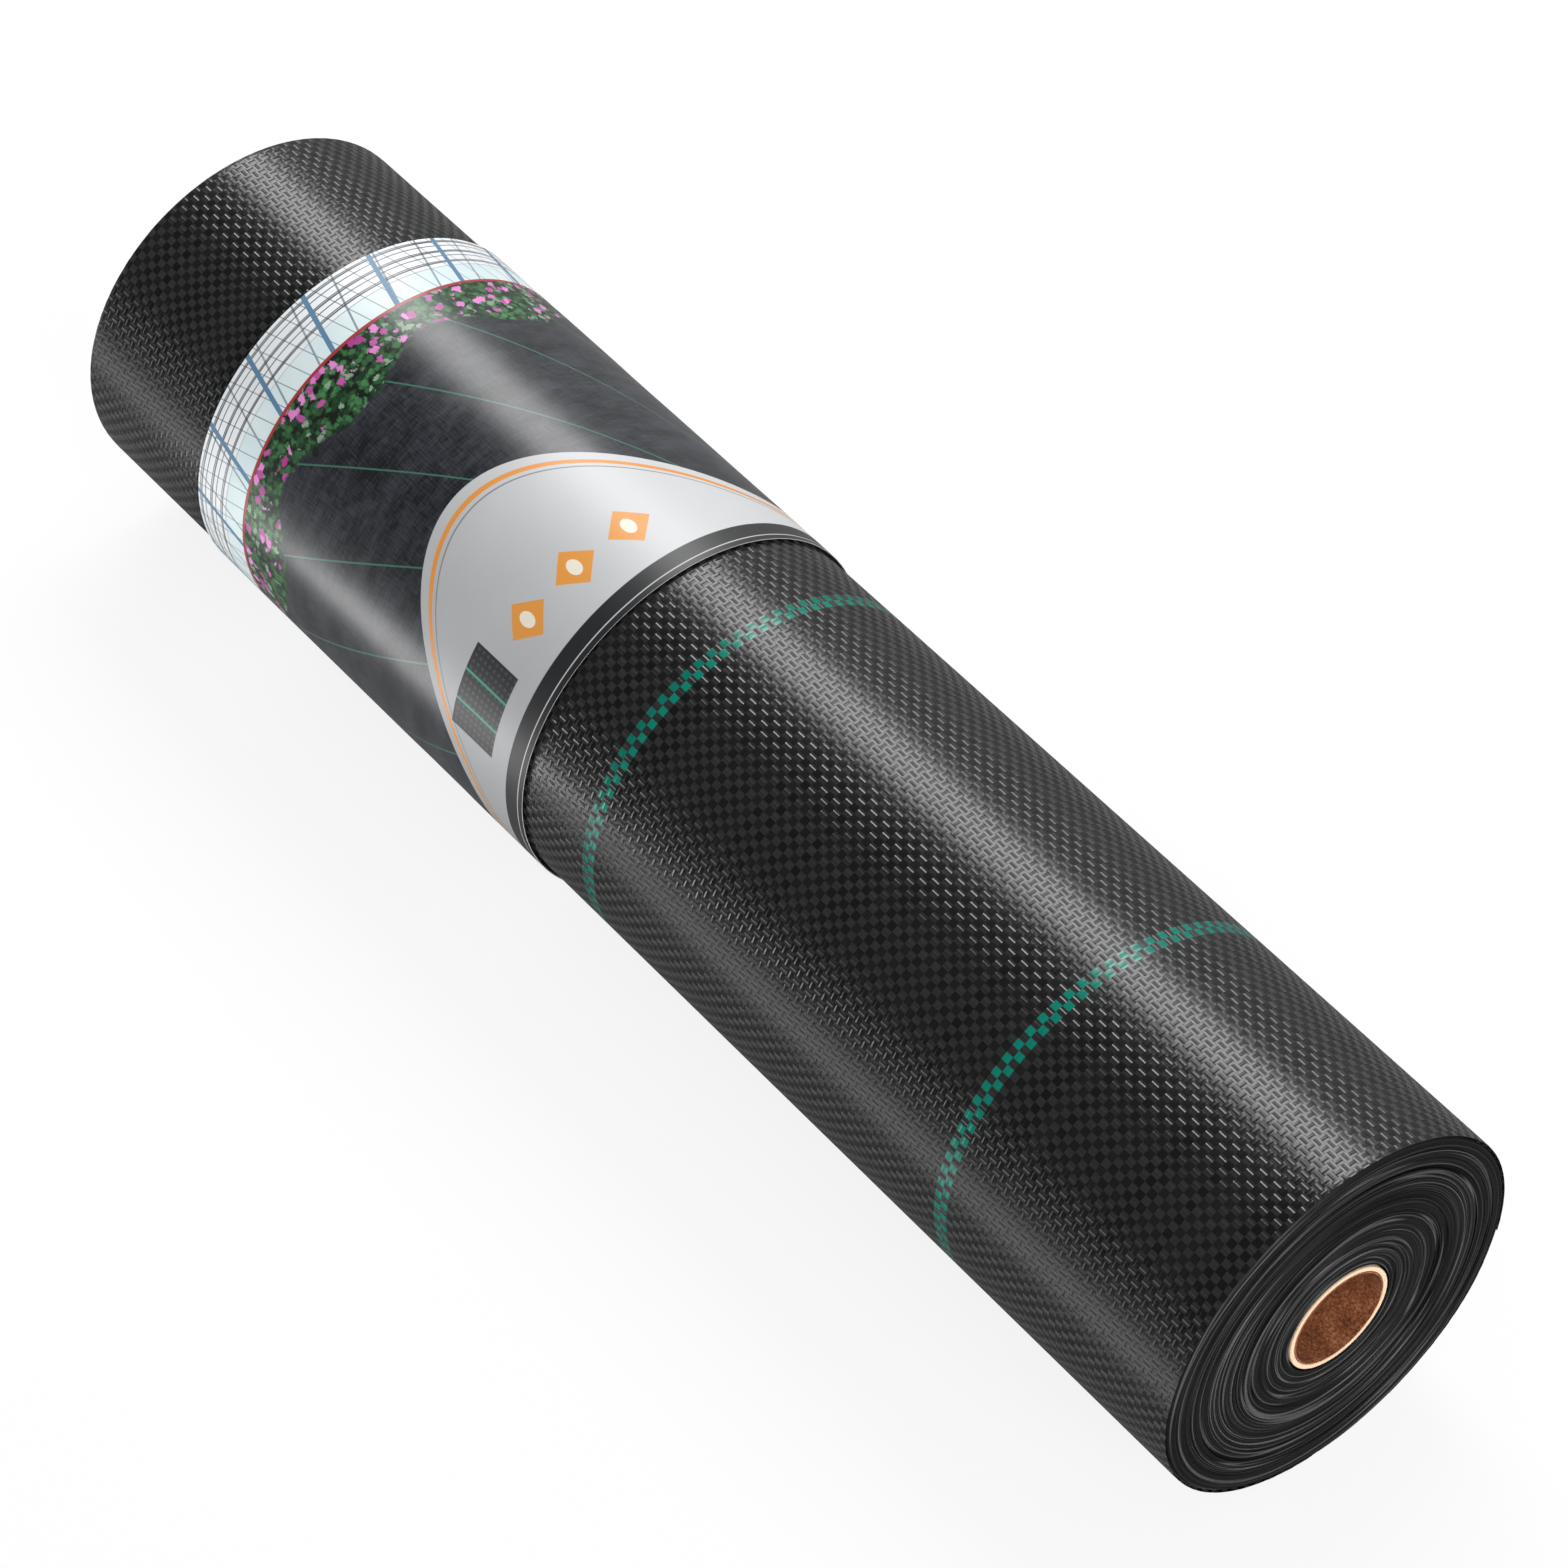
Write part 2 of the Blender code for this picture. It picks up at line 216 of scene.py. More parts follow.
class Nodes:
    # a node tree in the making
    def __init__(self, tree):
        self.tree = tree

    def feed(self, plug, value):
        if isinstance(value, Wire):
            self.tree.links.new(value.plug, plug)
        elif isinstance(value, (tuple, list)) and len(value) == 3 and plug.type == "RGBA":
            plug.default_value = (*value, 1)
        else:
            plug.default_value = value

    def add(self, kind, settings=None, sockets=(), output=0):
        node = self.tree.nodes.new("ShaderNode" + kind)
        for name, value in (settings or {}).items():
            if name == "stops":
                while len(node.color_ramp.elements) < len(value):
                    node.color_ramp.elements.new(1)
                for element, (place, colour) in zip(node.color_ramp.elements, value):
                    element.position = place
                    element.color = (*colour, 1)
            else:
                setattr(node, name, value)
        given = sockets.items() if isinstance(sockets, dict) else enumerate(sockets)
        for key, value in given:
            self.feed(node.inputs[key], value)
        return Wire(self, node.outputs[output])

    def coordinates(self, kind="Object"):
        return self.add("TexCoord", output=kind)

    def attribute(self, name):
        return self.add("Attribute", {"attribute_name": name}, output="Fac")

    def axes(self, place):
        return self.add("SeparateXYZ", {}, (place,)).outputs("X", "Y", "Z")

    def surface(self):
        # metres along and across the piece's own surface
        return self.axes(self.add("UVMap", {"uv_map": surfaceMap}))[:2]

    def vector(self, x, y, z=0):
        return self.add("CombineXYZ", {}, (x, y, z))

    def noise(self, place, scale, detail=2, roughness=0.5):
        sockets = {"Vector": place, "Scale": scale, "Detail": detail, "Roughness": roughness}
        return self.add("TexNoise", {}, sockets)

    def cells(self, place, scale):
        # how far a place is from the middle of its cell, and three numbers of the cell's own
        found = self.add("TexVoronoi", {"feature": "F1"}, {"Vector": place, "Scale": scale})
        return found, *self.axes(found.outputs("Color")[0])

    def mix(self, share, first, second):
        return self.add("Mix", {"data_type": "RGBA"}, {0: share, 6: first, 7: second}, 2)

    def ramp(self, share, stops):
        return self.add("ValToRGB", {"stops": stops}, (share,))

    def ease(self, value, start, end, low=0.0, high=1.0):
        # softly from low to high, as the value goes from start to end
        sockets = {0: value, 1: start, 2: end, 3: low, 4: high}
        return self.add("MapRange", {"interpolation_type": "SMOOTHSTEP"}, sockets)

    def bump(self, height, distance, normal=None):
        sockets = {"Distance": distance, "Height": height}
        if normal:
            sockets["Normal"] = normal
        return self.add("Bump", {}, sockets)


class Look(Nodes):
    # a material in the making; the slot name it is given is kept but not used
    def __init__(self, name, slot=None):
        self.slot = slot
        self.material = bpy.data.materials.new(name)
        self.material.use_nodes = True
        super().__init__(self.material.node_tree)
        self.shader = self.tree.nodes["Principled BSDF"]

    def finish(self, **sockets):
        # the shader's own names, with underlines for spaces
        for name, value in sockets.items():
            self.feed(self.shader.inputs[name.replace("_", " ")], value)
        return self


# Mesh helpers
def addPiece(name, shape, look, body, smooth=True):
    # makes a piece of a bmesh, or of a mesh, that is already in its place
    if isinstance(shape, bmesh.types.BMesh):
        mesh = bpy.data.meshes.new(name)
        shape.to_mesh(mesh)
        shape.free()
    else:
        mesh = shape
        mesh.name = name
    mesh.materials.append(look.material)
    if smooth:
        mesh.shade_smooth()
    piece = bpy.data.objects.new(name, mesh)
    bpy.context.collection.objects.link(piece)
    if body:
        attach(piece, body)
    return piece


def gridMesh(columns, rows, keep=None):
    # a grid as a mesh, with the column and row of each of its points
    def firstColumn(face):
        return round((face.calc_center_median().x + 1) / 2 * (columns - 1) - 0.5)

    shape = bmesh.new()
    bmesh.ops.create_grid(shape, x_segments=columns - 1, y_segments=rows - 1, size=1)
    if keep:
        dropped = [f for f in shape.faces if not keep(firstColumn(f))]
        bmesh.ops.delete(shape, geom=dropped, context="FACES")
    mesh = bpy.data.meshes.new("grid")
    shape.to_mesh(mesh)
    shape.free()
    flat = np.zeros((len(mesh.vertices), 3), np.float32)
    mesh.vertices.foreach_get("co", flat.ravel())
    column = np.rint((flat[:, 0] + 1) / 2 * (columns - 1)).astype(int)
    row = np.rint((flat[:, 1] + 1) / 2 * (rows - 1)).astype(int)
    return mesh, column, row


def joined(mesh):
    # a bmesh of a mesh, with the points that meet made one
    shape = bmesh.new()
    shape.from_mesh(mesh)
    bmesh.ops.remove_doubles(shape, verts=shape.verts, dist=nearZero)
    return shape


def setPlaces(mesh, places):
    mesh.vertices.foreach_set("co", np.asarray(places, np.float32).ravel())
    mesh.update()


def setMap(mesh, name, across, up):
    corner = np.zeros(len(mesh.loops), np.int32)
    mesh.loops.foreach_get("vertex_index", corner)
    uv = mesh.uv_layers.new(name=name)
    uv.data.foreach_set("uv", np.stack([across, up], 1).astype(np.float32)[corner].ravel())


def share01(values):
    low, high = values.min(), values.max()
    return (values - low) / max(high - low, nearZero)


def turnOut(mesh):
    # turns the faces of a wrapped sheet away from the roll's axis
    face = mesh.polygons[len(mesh.polygons) // 2]
    if face.normal.dot((0, face.center.y, face.center.z - axisHeight)) < 0:
        mesh.flip_normals()


# Looks of the cloth
cloth = {
    "black": (0.0120, 0.0122, 0.0127),
    "green": (0.0, 0.215, 0.155),
    "dark": 0.40,  # shares of the colour where a tape is darkest and palest
    "pale": 2.4,
    "paleLift": 0.002,
    "toneSwing": 0.75,
    "toneShare": 0.40,
    "roughness": (0.195, 0.265),
    "specular": 0.55,
    "streak": 0.0011,  # width of the drawn lines in a tape
    "streakTone": (0.8, 1.2),
    "streakDepth": 0.00005,
    "streakPitch": 25,  # swings of a line in a metre along the tape
    "patchPitch": 60,  # dull patches in a metre
    "weftSheen": 0.09,  # of the tapes along the roll, which shine a little at a flat angle
    "crown": 0.32,  # slope of a tape's rounded middle, which stands up between flat edges
    "crest": (0.012, 0.058),  # in shares of the tape's width: where the slope starts, and is full
    "foot": (0.172, 0.238),  # where it lessens, and ends
}


def tapeCrown(look):
    # the surface tilts away to both sides of a tape's middle
    offset = look.attribute("side") - 0.5
    reach = abs(offset)
    rise = look.ease(reach, *cloth["crest"])
    fall = look.ease(reach, *cloth["foot"], 1.0, 0.0)
    tilt = rise * fall * offset.math("SIGN") * (cloth["crown"] / 2)
    return look.add("NormalMap", {"uv_map": surfaceMap}, {"Color": look.vector(0.5, tilt + 0.5, 1.0)})


def tapeLook(name, slot, colour, sheen=0.0):
    # drawn plastic tape, with fine lines along it
    look = Look(name, slot)
    along, across = look.surface()
    lines = look.noise(look.vector(along * cloth["streakPitch"], across / cloth["streak"]), 1.0)
    pitch, swing = cloth["patchPitch"], cloth["toneSwing"]
    patches = look.noise(look.vector(along * pitch, across * pitch), 1.0, 3)
    level = look.attribute("tone").spread(1 - swing, 1 + swing) * lines.spread(*cloth["streakTone"])
    pale = tuple(min(c * cloth["pale"] + cloth["paleLift"], 1) for c in colour)
    dark = tuple(c * cloth["dark"] for c in colour)
    return look.finish(
        Base_Color=look.mix(level.math("MULTIPLY", cloth["toneShare"], clamp=True), dark, pale),
        Roughness=(patches * 0.6 + lines * 0.4).spread(*cloth["roughness"]),
        Normal=look.bump(lines, cloth["streakDepth"], tapeCrown(look)),
        Specular_IOR_Level=cloth["specular"],
        Sheen_Weight=sheen,
    )


blackWarp = tapeLook("black_warp_tape", "black_cloth", cloth["black"])
blackWeft = tapeLook("black_weft_tape", "black_cloth", cloth["black"], cloth["weftSheen"])
greenTape = tapeLook("green_tape", "green_tape", cloth["green"])


# The woven outer turn: tapes that really pass over and under each other
weave = {
    "columnsBetweenLines": 59,  # tapes from one marker line to the next
    "rowAngle": 2.25,
    "rise": 0.00005,  # of a tape above and below the cloth's middle
    "bend": (0.06, 0.16),  # shares of a check where a tape's bend ends and its flat starts
    "bendHeight": 0.66,
    "gapShare": 0.03,
    "widthSwingShare": 0.012,
    "riseSwingShare": 0.16,
    "toneSpread": 0.35,  # random tone from tape to tape; the tapes round the roll are dark, and those along it are painted paler, as painted sheen
    "weftTone": 0.65,
    "curlWidth": 0.0020,  # how far in from its edges the cloth turns down
    "curlDrop": 0.0003,
    "curlMost": 1.3,
    "rootRow": 20,
    "fray": (0.0004, 0.0030),  # how far the tapes stand out past the free edge
    "sideFray": (-0.0001, 0.0001),
    "seed": 7,
}
rng = np.random.default_rng(weave["seed"])

rowCount = int((fullTurn + wrap["freeEdge"] - wrap["tuck"]) // weave["rowAngle"])
rowPitch = math.radians(weave["rowAngle"]) * rollRadius
columnPitch = (markerLines[0] - markerLines[1]) / weave["columnsBetweenLines"]
nearColumns = int((turnHigh.x - markerLines[0]) // columnPitch)
farColumns = int((markerLines[0] - turnLow.x) // columnPitch)
columnEdges = np.array(
    [turnLow.x]
    + [markerLines[0] + k * columnPitch for k in range(-farColumns, nearColumns + 1)]
    + [turnHigh.x]
)
columnCount = len(columnEdges) - 1
lineColumns = [int(np.argmin(abs(columnEdges - line))) for line in markerLines]
flapColumn = int(np.argmin(abs(columnEdges - flapLow.x)))
greenTapes = []  # two side by side in each marker line
for number, column in enumerate(lineColumns, 1):
    greenTapes += [(f"{number}a", column), (f"{number}b", column - 1)]
greenColumns = [column for mark, column in greenTapes]
blackFar = [c for c in range(flapColumn) if c not in greenColumns]
blackNear = [c for c in range(flapColumn, columnCount) if c not in greenColumns]
columnTone = weave["toneSpread"] * rng.random(columnCount)
# painted sheen: the tapes along the roll start from a higher tone
rowTone = weave["weftTone"] + weave["toneSpread"] * rng.random(rowCount)
columnRise = 1 + weave["riseSwingShare"] * (rng.random(columnCount) - 0.5)
rowRise = 1 + weave["riseSwingShare"] * (rng.random(rowCount) - 0.5)
columnSide = weave["widthSwingShare"] * (rng.random((columnCount, 2)) - 0.5)
rowSide = weave["widthSwingShare"] * (rng.random((rowCount, 2)) - 0.5)
endOverrun = rng.uniform(*weave["fray"], columnCount)
sideOverrun = rng.uniform(*weave["sideFray"], rowCount)


def rowAngleAt(row):
    return wrap["freeEdge"] - weave["rowAngle"] * row


def tapeStations(first, last):
    # places along a tape, in checks, and its height there, before it is told over from under
    inner, outer = weave["bend"]
    height = weave["bendHeight"]
    shares = np.array([0, inner, outer, 1 - outer, 1 - inner])
    heights = np.array([0, height, 1, 1, height])
    checks = np.arange(first, last)
    places = np.append((checks[:, None] + shares).ravel(), last)
    sides = np.append((np.where(checks % 2 == 0, 1, -1)[:, None] * heights).ravel(), 0)
    return places, sides


def curl(x):
    inside = np.minimum(turnHigh.x - x, x - turnLow.x)
    return weave["curlDrop"] * np.clip(1 - inside / weave["curlWidth"], 0, weave["curlMost"]) ** 2


def weaveTapes(name, tapes, first, last, isWarp, look, body="roll"):
    # tapes of the cloth, side by side: those round the roll, or those along it
    stations, heights = tapeStations(first, last)
    mesh, side, station = gridMesh(2 * len(tapes), len(stations), lambda column: column % 2 == 0)
    tape = np.array(tapes)[side // 2]
    count = stations[station]
    own = (columnSide, columnRise, columnTone) if isWarp else (rowSide, rowRise, rowTone)
    sides, rises, tones = own
    margin = weave["gapShare"] / 2
    across = tape + np.where(side % 2 == 0, margin, 1 - margin) + sides[tape, side % 2]
    over = np.where((tape if isWarp else tape + 1) % 2 == 0, 1, -1)
    height = weave["rise"] * rises[tape] * heights[station] * over
    if isWarp:
        overrun = np.degrees(endOverrun[tape] / rollRadius)
        x = np.interp(across, np.arange(columnCount + 1), columnEdges)
        angle = rowAngleAt(count) + np.where(count == 0, overrun, 0)
        along, cross = np.radians(-angle) * rollRadius, x
    else:
        overrun = sideOverrun[tape]
        x = np.interp(count, np.arange(columnCount + 1), columnEdges)
        x = x + np.where(count == columnCount, overrun, 0) - np.where(count == 0, overrun, 0)
        angle = rowAngleAt(across)
        along, cross = x, np.radians(-angle) * rollRadius
    depth = weave["rise"] - height + curl(x)
    setPlaces(mesh, clothPlace(x, angle, depth))
    turnOut(mesh)
    setMap(mesh, surfaceMap, along, cross)
    setMap(mesh, bakeMap, share01(x), share01(-angle))
    for attribute, values in (("tone", tones[tape]), ("side", side % 2)):
        layer = mesh.attributes.new(attribute, "FLOAT", "POINT")
        layer.data.foreach_set("value", values.astype(np.float32))
    return addPiece(name, mesh, look, body)


def clothPiece(name, tapes, first, last, isWarp, body="roll"):
    # the black tapes of the cloth, round the roll or along it
    look = blackWarp if isWarp else blackWeft
    piece = weaveTapes(name, tapes, first, last, isWarp, look, body)
    return piece


def makeOuterTurn():
    root, half = weave["rootRow"], len(blackFar) // 2
    for mark, column in greenTapes:
        start = 0 if column < flapColumn else root
        piece = weaveTapes(f"green_tape_{mark}", [column], start, rowCount, True, greenTape)
        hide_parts(f"marker_tape_{mark}")
    warp = clothPiece("warp_tapes_far", blackFar[:half], 0, rowCount, True)
    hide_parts("fabric_outer_turn")
    clothPiece("warp_tapes_middle", blackFar[half:], 0, rowCount, True)
    clothPiece("warp_tapes_near", blackNear, root, rowCount, True)
    clothPiece("weft_tapes_end", list(range(root)), 0, flapColumn, False)
    middle = (root + rowCount) // 2
    clothPiece("weft_tapes_upper", list(range(root, middle)), 0, columnCount, False)
    clothPiece("weft_tapes_lower", list(range(middle, rowCount)), 0, columnCount, False)


# The free end, woven as pieces of its own, left unbent
flapBend = {"start": 57.0, "end": 68.0}


def bendFlap(piece):
    start, end = (roundPlace(0.0, rollRadius, flapBend[k]).tolist() for k in ("start", "end"))
    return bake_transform(piece)


def makeFreeEnd():
    root = weave["rootRow"]
    for mark, column in greenTapes:
        if column >= flapColumn:
            name = f"flap_green_tape_{mark}"
            piece = bendFlap(weaveTapes(name, [column], 0, root, True, greenTape, None))
            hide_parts(f"free_marker_tape_{mark}")
    warp = bendFlap(clothPiece("flap_warp_tapes", blackNear, 0, root, True, None))
    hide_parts("free_end_flap")
    bendFlap(clothPiece("flap_weft_tapes", list(range(root)), flapColumn, columnCount, False, None))


# Bodies wrapped round the roll's axis, each from a closed section
def wrapSection(name, node, section, angles, radiusAt, look, body, closed=False):
    # section: places along the roll with their depths below the outer face; node: what it stands for
    section = section + section[:1]
    stations = np.array([x for x, depth in section])
    depths = np.array([depth for x, depth in section])
    angles = np.append(angles, angles[:1] if closed else [])
    mesh, column, row = gridMesh(len(section), len(angles))
    angle, x = angles[row], stations[column]
    setPlaces(mesh, roundPlace(x, radiusAt(angle, x, depths[column]), angle))
    steps = np.hypot(np.diff(stations), np.diff(depths))
    across = np.concatenate([[0], np.cumsum(steps)])[column]
    halfTurn = fullTurn / 2
    turning = np.abs((np.diff(angles) + halfTurn) % fullTurn - halfTurn)
    turned = np.concatenate([[0], np.cumsum(turning)])[row]
    setMap(mesh, surfaceMap, np.radians(turned - angles[0]) * rollRadius, across)
    setMap(mesh, bakeMap, share01(turned), share01(across))
    shape = joined(mesh)
    rim = [e for e in shape.edges if e.is_boundary]
    if rim:
        bmesh.ops.holes_fill(shape, edges=rim, sides=0)
    bmesh.ops.recalc_face_normals(shape, faces=shape.faces)
    piece = addPiece(name, shape, look, body)
    piece.data.set_sharp_from_angle(angle=math.radians(sharpAngle))
    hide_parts(node)


# The inner turns: a mantle below the outer turn, and the turns' edges at both ends
turns = {
    "mantleDepth": 0.00095,  # of the mantle below the outer turn's face
    "mantleEnd": 0.4950,
    "mantleLap": 0.5,
    "mantleStep": 1.5,
    "mantleColours": ((0.003, 0.003, 0.003), (0.007, 0.007, 0.008)),
    "bore": 0.0353,
    "boreDepth": 1.0,  # in a section, this depth stands for the bore
    "faceX": 0.49985,
    "innerRadius": 0.0349,
    "outerInset": 0.00100,  # from the outer turn's face to the first edge of the inner turns
    "shoulderWidth": 0.0030,
    "shoulderDrop": 0.0026,
    "shoulderCalm": 0.7,
    "flushWidth": 0.005,  # how far out from the core the turns lie level with it
    "coils": 78,
    "lips": (0.0, 0.76, 0.90),  # where a turn's edge starts and ends, and the groove after it
    "segments": 180,
    "inset": 0.0007,  # of the turns from the face, and the most that they lie in
    "insetMost": 0.003,
    "band": 0.00040,  # swings in how far the turns stand out
    "bandFineShare": 0.6,
    "fine": 0.00012,
    "tilt": 0.00022,
    "groove": (0.00020, 0.00090),
    "grooveStart": 0.2,
    "drift": 0.0011,
    "driftFade": 8,  # turns from the core, and from the outside, where the drift is full
    # Of each ripple: turns from one swing to the next, and swings round the roll
    "ripples": {
        "drift": (11, 4),
        "band": (5.0, 5),
        "bandFine": (2.0, 6),
        "fine": (0.8, 9),
        "tilt": (1.7, 5),
        "tiltSize": (9.0, 3),
        "groove": (1.1, 5),
    },
    "mapSide": 2.1,  # of the bake map, in radii of the roll
    "seed": 21,
}

edges = {
    # Of each noise: its reach round the roll, its pitch across the turns, its start, its detail
    "noises": {
        "rings": (0.18, 0.0024, 0, 2),
        "bands": (0.09, 0.0091, 0, 2),
        "hairs": (0.24, 0.0042, 7, 1),
        "threads": (0.19, 0.0022, 13, 1),
        "grooves": (0.16, 0.0050, 31, 1),
    },
    # Of each kind of line: the noise's level in its middle, and its width
    "lines": {"hairs": (0.52, 0.030), "threads": (0.50, 0.045), "grooves": (0.48, 0.060)},
    "specks": 900,
    "dark": [
        (0.36, (0.0032, 0.0032, 0.0035)),
        (0.52, (0.0066, 0.0067, 0.0070)),
        (0.68, (0.015, 0.015, 0.016)),
    ],
    # painted shade: near-black colour laid along the grooves between the turns
    "groove": (0.0012, 0.0012, 0.0014),
    # painted highlights: pale colours of the fainter threads and the brighter hairlines
    "threadHighlight": (0.050, 0.050, 0.052),
    "hairHighlight": (0.15, 0.15, 0.154),
    "roughness": (0.34, 0.50),
    "specular": 0.30,
    "depth": 0.00012,
}


def edgeLook():
    look = Look("turn_edges", "black_cloth")
    across = look.surface()[1]
    place = look.coordinates()
    y, z = look.axes(place)[1:]
    up = z - axisHeight
    radius = (y * y + up * up) ** 0.5

    def ringNoise(kind):
        # runs round the roll without a seam
        reach, pitch, start, detail = edges["noises"][kind]
        spot = look.vector(y / radius * reach, up / radius * reach, across / pitch + start)
        return look.noise(spot, 1.0, detail)

    def fineLines(kind):
        level, width = edges["lines"][kind]
        return 1 - (abs(ringNoise(kind) - level) / width).math("MINIMUM", 1)

    rings, bands = ringNoise("rings"), ringNoise("bands")
    hairs, threads, grooves = fineLines("hairs"), fineLines("threads"), fineLines("grooves")
    specks = look.noise(place, edges["specks"])
    base = look.ramp(rings * 0.5 + bands * 0.35 + specks * 0.15, edges["dark"])
    # painted shade: the grooves are darkened to near black
    base = look.mix(grooves * 0.9, base, edges["groove"])
    # painted highlights: pale threads and hairlines laid along the turns' edges
    base = look.mix(threads * rings.spread(-0.4, 1.4).math("MAXIMUM", 0), base, edges["threadHighlight"])
    base = look.mix(hairs * bands.spread(-0.1, 1.6).math("MAXIMUM", 0), base, edges["hairHighlight"])
    height = rings * 0.5 + hairs * 0.5 - grooves + specks * 0.2
    return look.finish(
        Base_Color=base,
        Roughness=specks.spread(*edges["roughness"]),
        Normal=look.bump(height, edges["depth"]),
        Specular_IOR_Level=edges["specular"],
    )


def mantleLook():
    # the turn below, seen through the gaps in the weave
    look = Look("cloth_below", "black_cloth")
    along, across = look.surface()
    rows = (along * (math.pi / rowPitch)).math("SINE")
    checks = rows * (across * (math.pi / columnPitch)).math("SINE")
    share = checks.spread(0.5, 1.0)
    base, rough = look.mix(share, *turns["mantleColours"]), share.spread(0.45, 0.60)
    return look.finish(Base_Color=base, Roughness=rough, Normal=look.bump(checks, 0.0002))


turnEdges = edgeLook()
clothBelow = mantleLook()


def woundRadius(angle):
    # outer face of the turn below the outer one
    inner = wrap["tuck"] - fullTurn
    return turnRadius(inner + (angle - inner) % fullTurn)


def makeMantle():
    end, depth, bore = turns["mantleEnd"], turns["mantleDepth"], turns["boreDepth"]
    step, ramp = flapLow.x, wrap["ramp"]
    outline = [(x, depth) for x in (-end, step, step + ramp, end)]
    outline = [(-end, bore)] + outline + [(end, bore)]
    last = wrap["tuck"] - fullTurn
    angles = list(np.arange(wrap["tuck"] - turns["mantleLap"], last, -turns["mantleStep"])) + [last]

    def radiusAt(angle, x, depth):
        outer = pressed(woundRadius(angle) - depth, angle, clothLevel(x - ramp) + depth)
        return np.where(depth == bore, turns["bore"], outer)

    wrapSection("turn_below", "fabric_winding", outline, angles, radiusAt, clothBelow, "roll", True)


def ripple(rng, across, around, step, waves):
    # a smooth random field, which repeats round the roll
    knots = rng.standard_normal((int(across.max() / step) + 3, waves))
    place, wave = across / step, around * waves
    low, left = place.astype(int), np.floor(wave).astype(int)
    down, side = ease(place - low), ease(wave - left)
    near = knots[low, left % waves] * (1 - side) + knots[low, (left + 1) % waves] * side
    far = knots[low + 1, left % waves] * (1 - side) + knots[low + 1, (left + 1) % waves] * side
    return near * (1 - down) + far * down


def makeTurnEdges(name, side, seed):
    # the edges of the turns: one spiral, each turn dipping below the one outside it
    rng = np.random.default_rng(seed)
    coils, segments, lips = turns["coils"], turns["segments"], np.array(turns["lips"])
    mesh, column, row = gridMesh(segments + 1, len(lips) * coils + 1)
    coil, lip = row // len(lips), row % len(lips)
    around = column / segments
    angle = wrap["freeEdge"] - fullTurn * around
    outer = rollRadius - turns["outerInset"]
    pitch = (outer - turns["innerRadius"]) / (coils + 1)
    wound = coil + lips[lip] + around

    def swing(kind):
        return ripple(rng, wound, around, *turns["ripples"][kind])

    drift = turns["drift"] * swing("drift")
    drift = drift * np.clip(np.minimum(wound, coils + 1 - wound) / turns["driftFade"], 0, 1)
    radius = outer - pitch * (coil + lips[lip] + dipped(angle)) + drift
    radius = np.maximum(radius, turns["innerRadius"])
    inward = turns["band"] * (swing("band") + turns["bandFineShare"] * swing("bandFine"))
    inward = inward + turns["fine"] * swing("fine")
    tilt = turns["tilt"] * swing("tilt") * (0.5 + abs(swing("tiltSize")))
    low, high = turns["groove"]
    deep = low + high * np.clip(swing("groove") - turns["grooveStart"], 0, 2) ** 2
    inward = inward + np.choose(lip, [-tilt, tilt, deep])
    shoulder = np.clip(1 - (outer - radius) / turns["shoulderWidth"], 0, 1)
    flush = np.clip((radius - turns["innerRadius"]) / turns["flushWidth"], 0, 1)
    inward = turns["inset"] + inward * (1 - turns["shoulderCalm"] * shoulder)
    inward = np.clip(inward, 0, turns["insetMost"]) * flush + turns["shoulderDrop"] * shoulder ** 2
    x = side * (turns["faceX"] - inward)
    setPlaces(mesh, roundPlace(x, pressed(radius, angle, wrap["layer"] + wrap["pieceGap"]), angle))
    setMap(mesh, surfaceMap, -np.radians(angle) * radius, wound * pitch)
    mapSide = turns["mapSide"] * rollRadius
    flat = roundPlace(x, radius, angle) / mapSide
    setMap(mesh, bakeMap, 0.5 + flat[:, 1], 0.5 + flat[:, 2] - axisHeight / mapSide)
    shape = joined(mesh)
    bmesh.ops.recalc_face_normals(shape, faces=shape.faces)
    if sum(f.normal.x for f in shape.faces) * side < 0:
        bmesh.ops.reverse_faces(shape, faces=shape.faces)
    piece = addPiece(name, shape, turnEdges, "roll")
    piece.data.set_sharp_from_angle(angle=math.radians(sharpAngle))


makeMantle()
makeTurnEdges("turn_edges_near", 1, turns["seed"])
makeTurnEdges("turn_edges_far", -1, turns["seed"] + 1)
print("inner turns wound")
makeOuterTurn()
print("outer turn woven")
makeFreeEnd()
print("free end woven")


# Core: board plies with a brown liner
core = {
    "edgeRound": 0.0004,
    "roundSteps": 4,
    "plies": 6,
    "plyStep": 0.00003,
    "pliesSpan": (0.15, 0.85),  # shares of the wall where the first and the last edge show
    "segments": 120,
    "lining": 0.0008,
    "liningEdge": (0.0004, 0.0002),  # how far its ends are bevelled, along the tube and into it
    "liningStations": 41,
    "board": [(0.30, (0.66, 0.43, 0.26)), (0.50, (0.86, 0.64, 0.45)), (0.72, (0.94, 0.76, 0.58))],
    "liner": [(0.34, (0.090, 0.019, 0.005)), (0.50, (0.30, 0.098, 0.033)), (0.66, (0.62, 0.27, 0.12))],
    "seamPitch": 0.095,  # along the tube, from one turn of the liner's seam to the next
    "seamWidth": 0.0012,
}


def boardLook():
    look = Look("core_board", "core_board")
    x, y, z = look.axes(look.coordinates())
    up = z - axisHeight
    radius = (y * y + up * up) ** 0.5
    plies = look.noise(look.vector(radius * 2200, x * 3), 1.0)
    fibres = look.noise(look.vector(x * 500, y * 900, up * 900), 1.0, 3)
    base = look.ramp(plies * 0.4 + fibres * 0.6, core["board"])
    rough = fibres.spread(0.75, 0.95)
    return look.finish(Base_Color=base, Roughness=rough, Normal=look.bump(fibres, 0.00008))


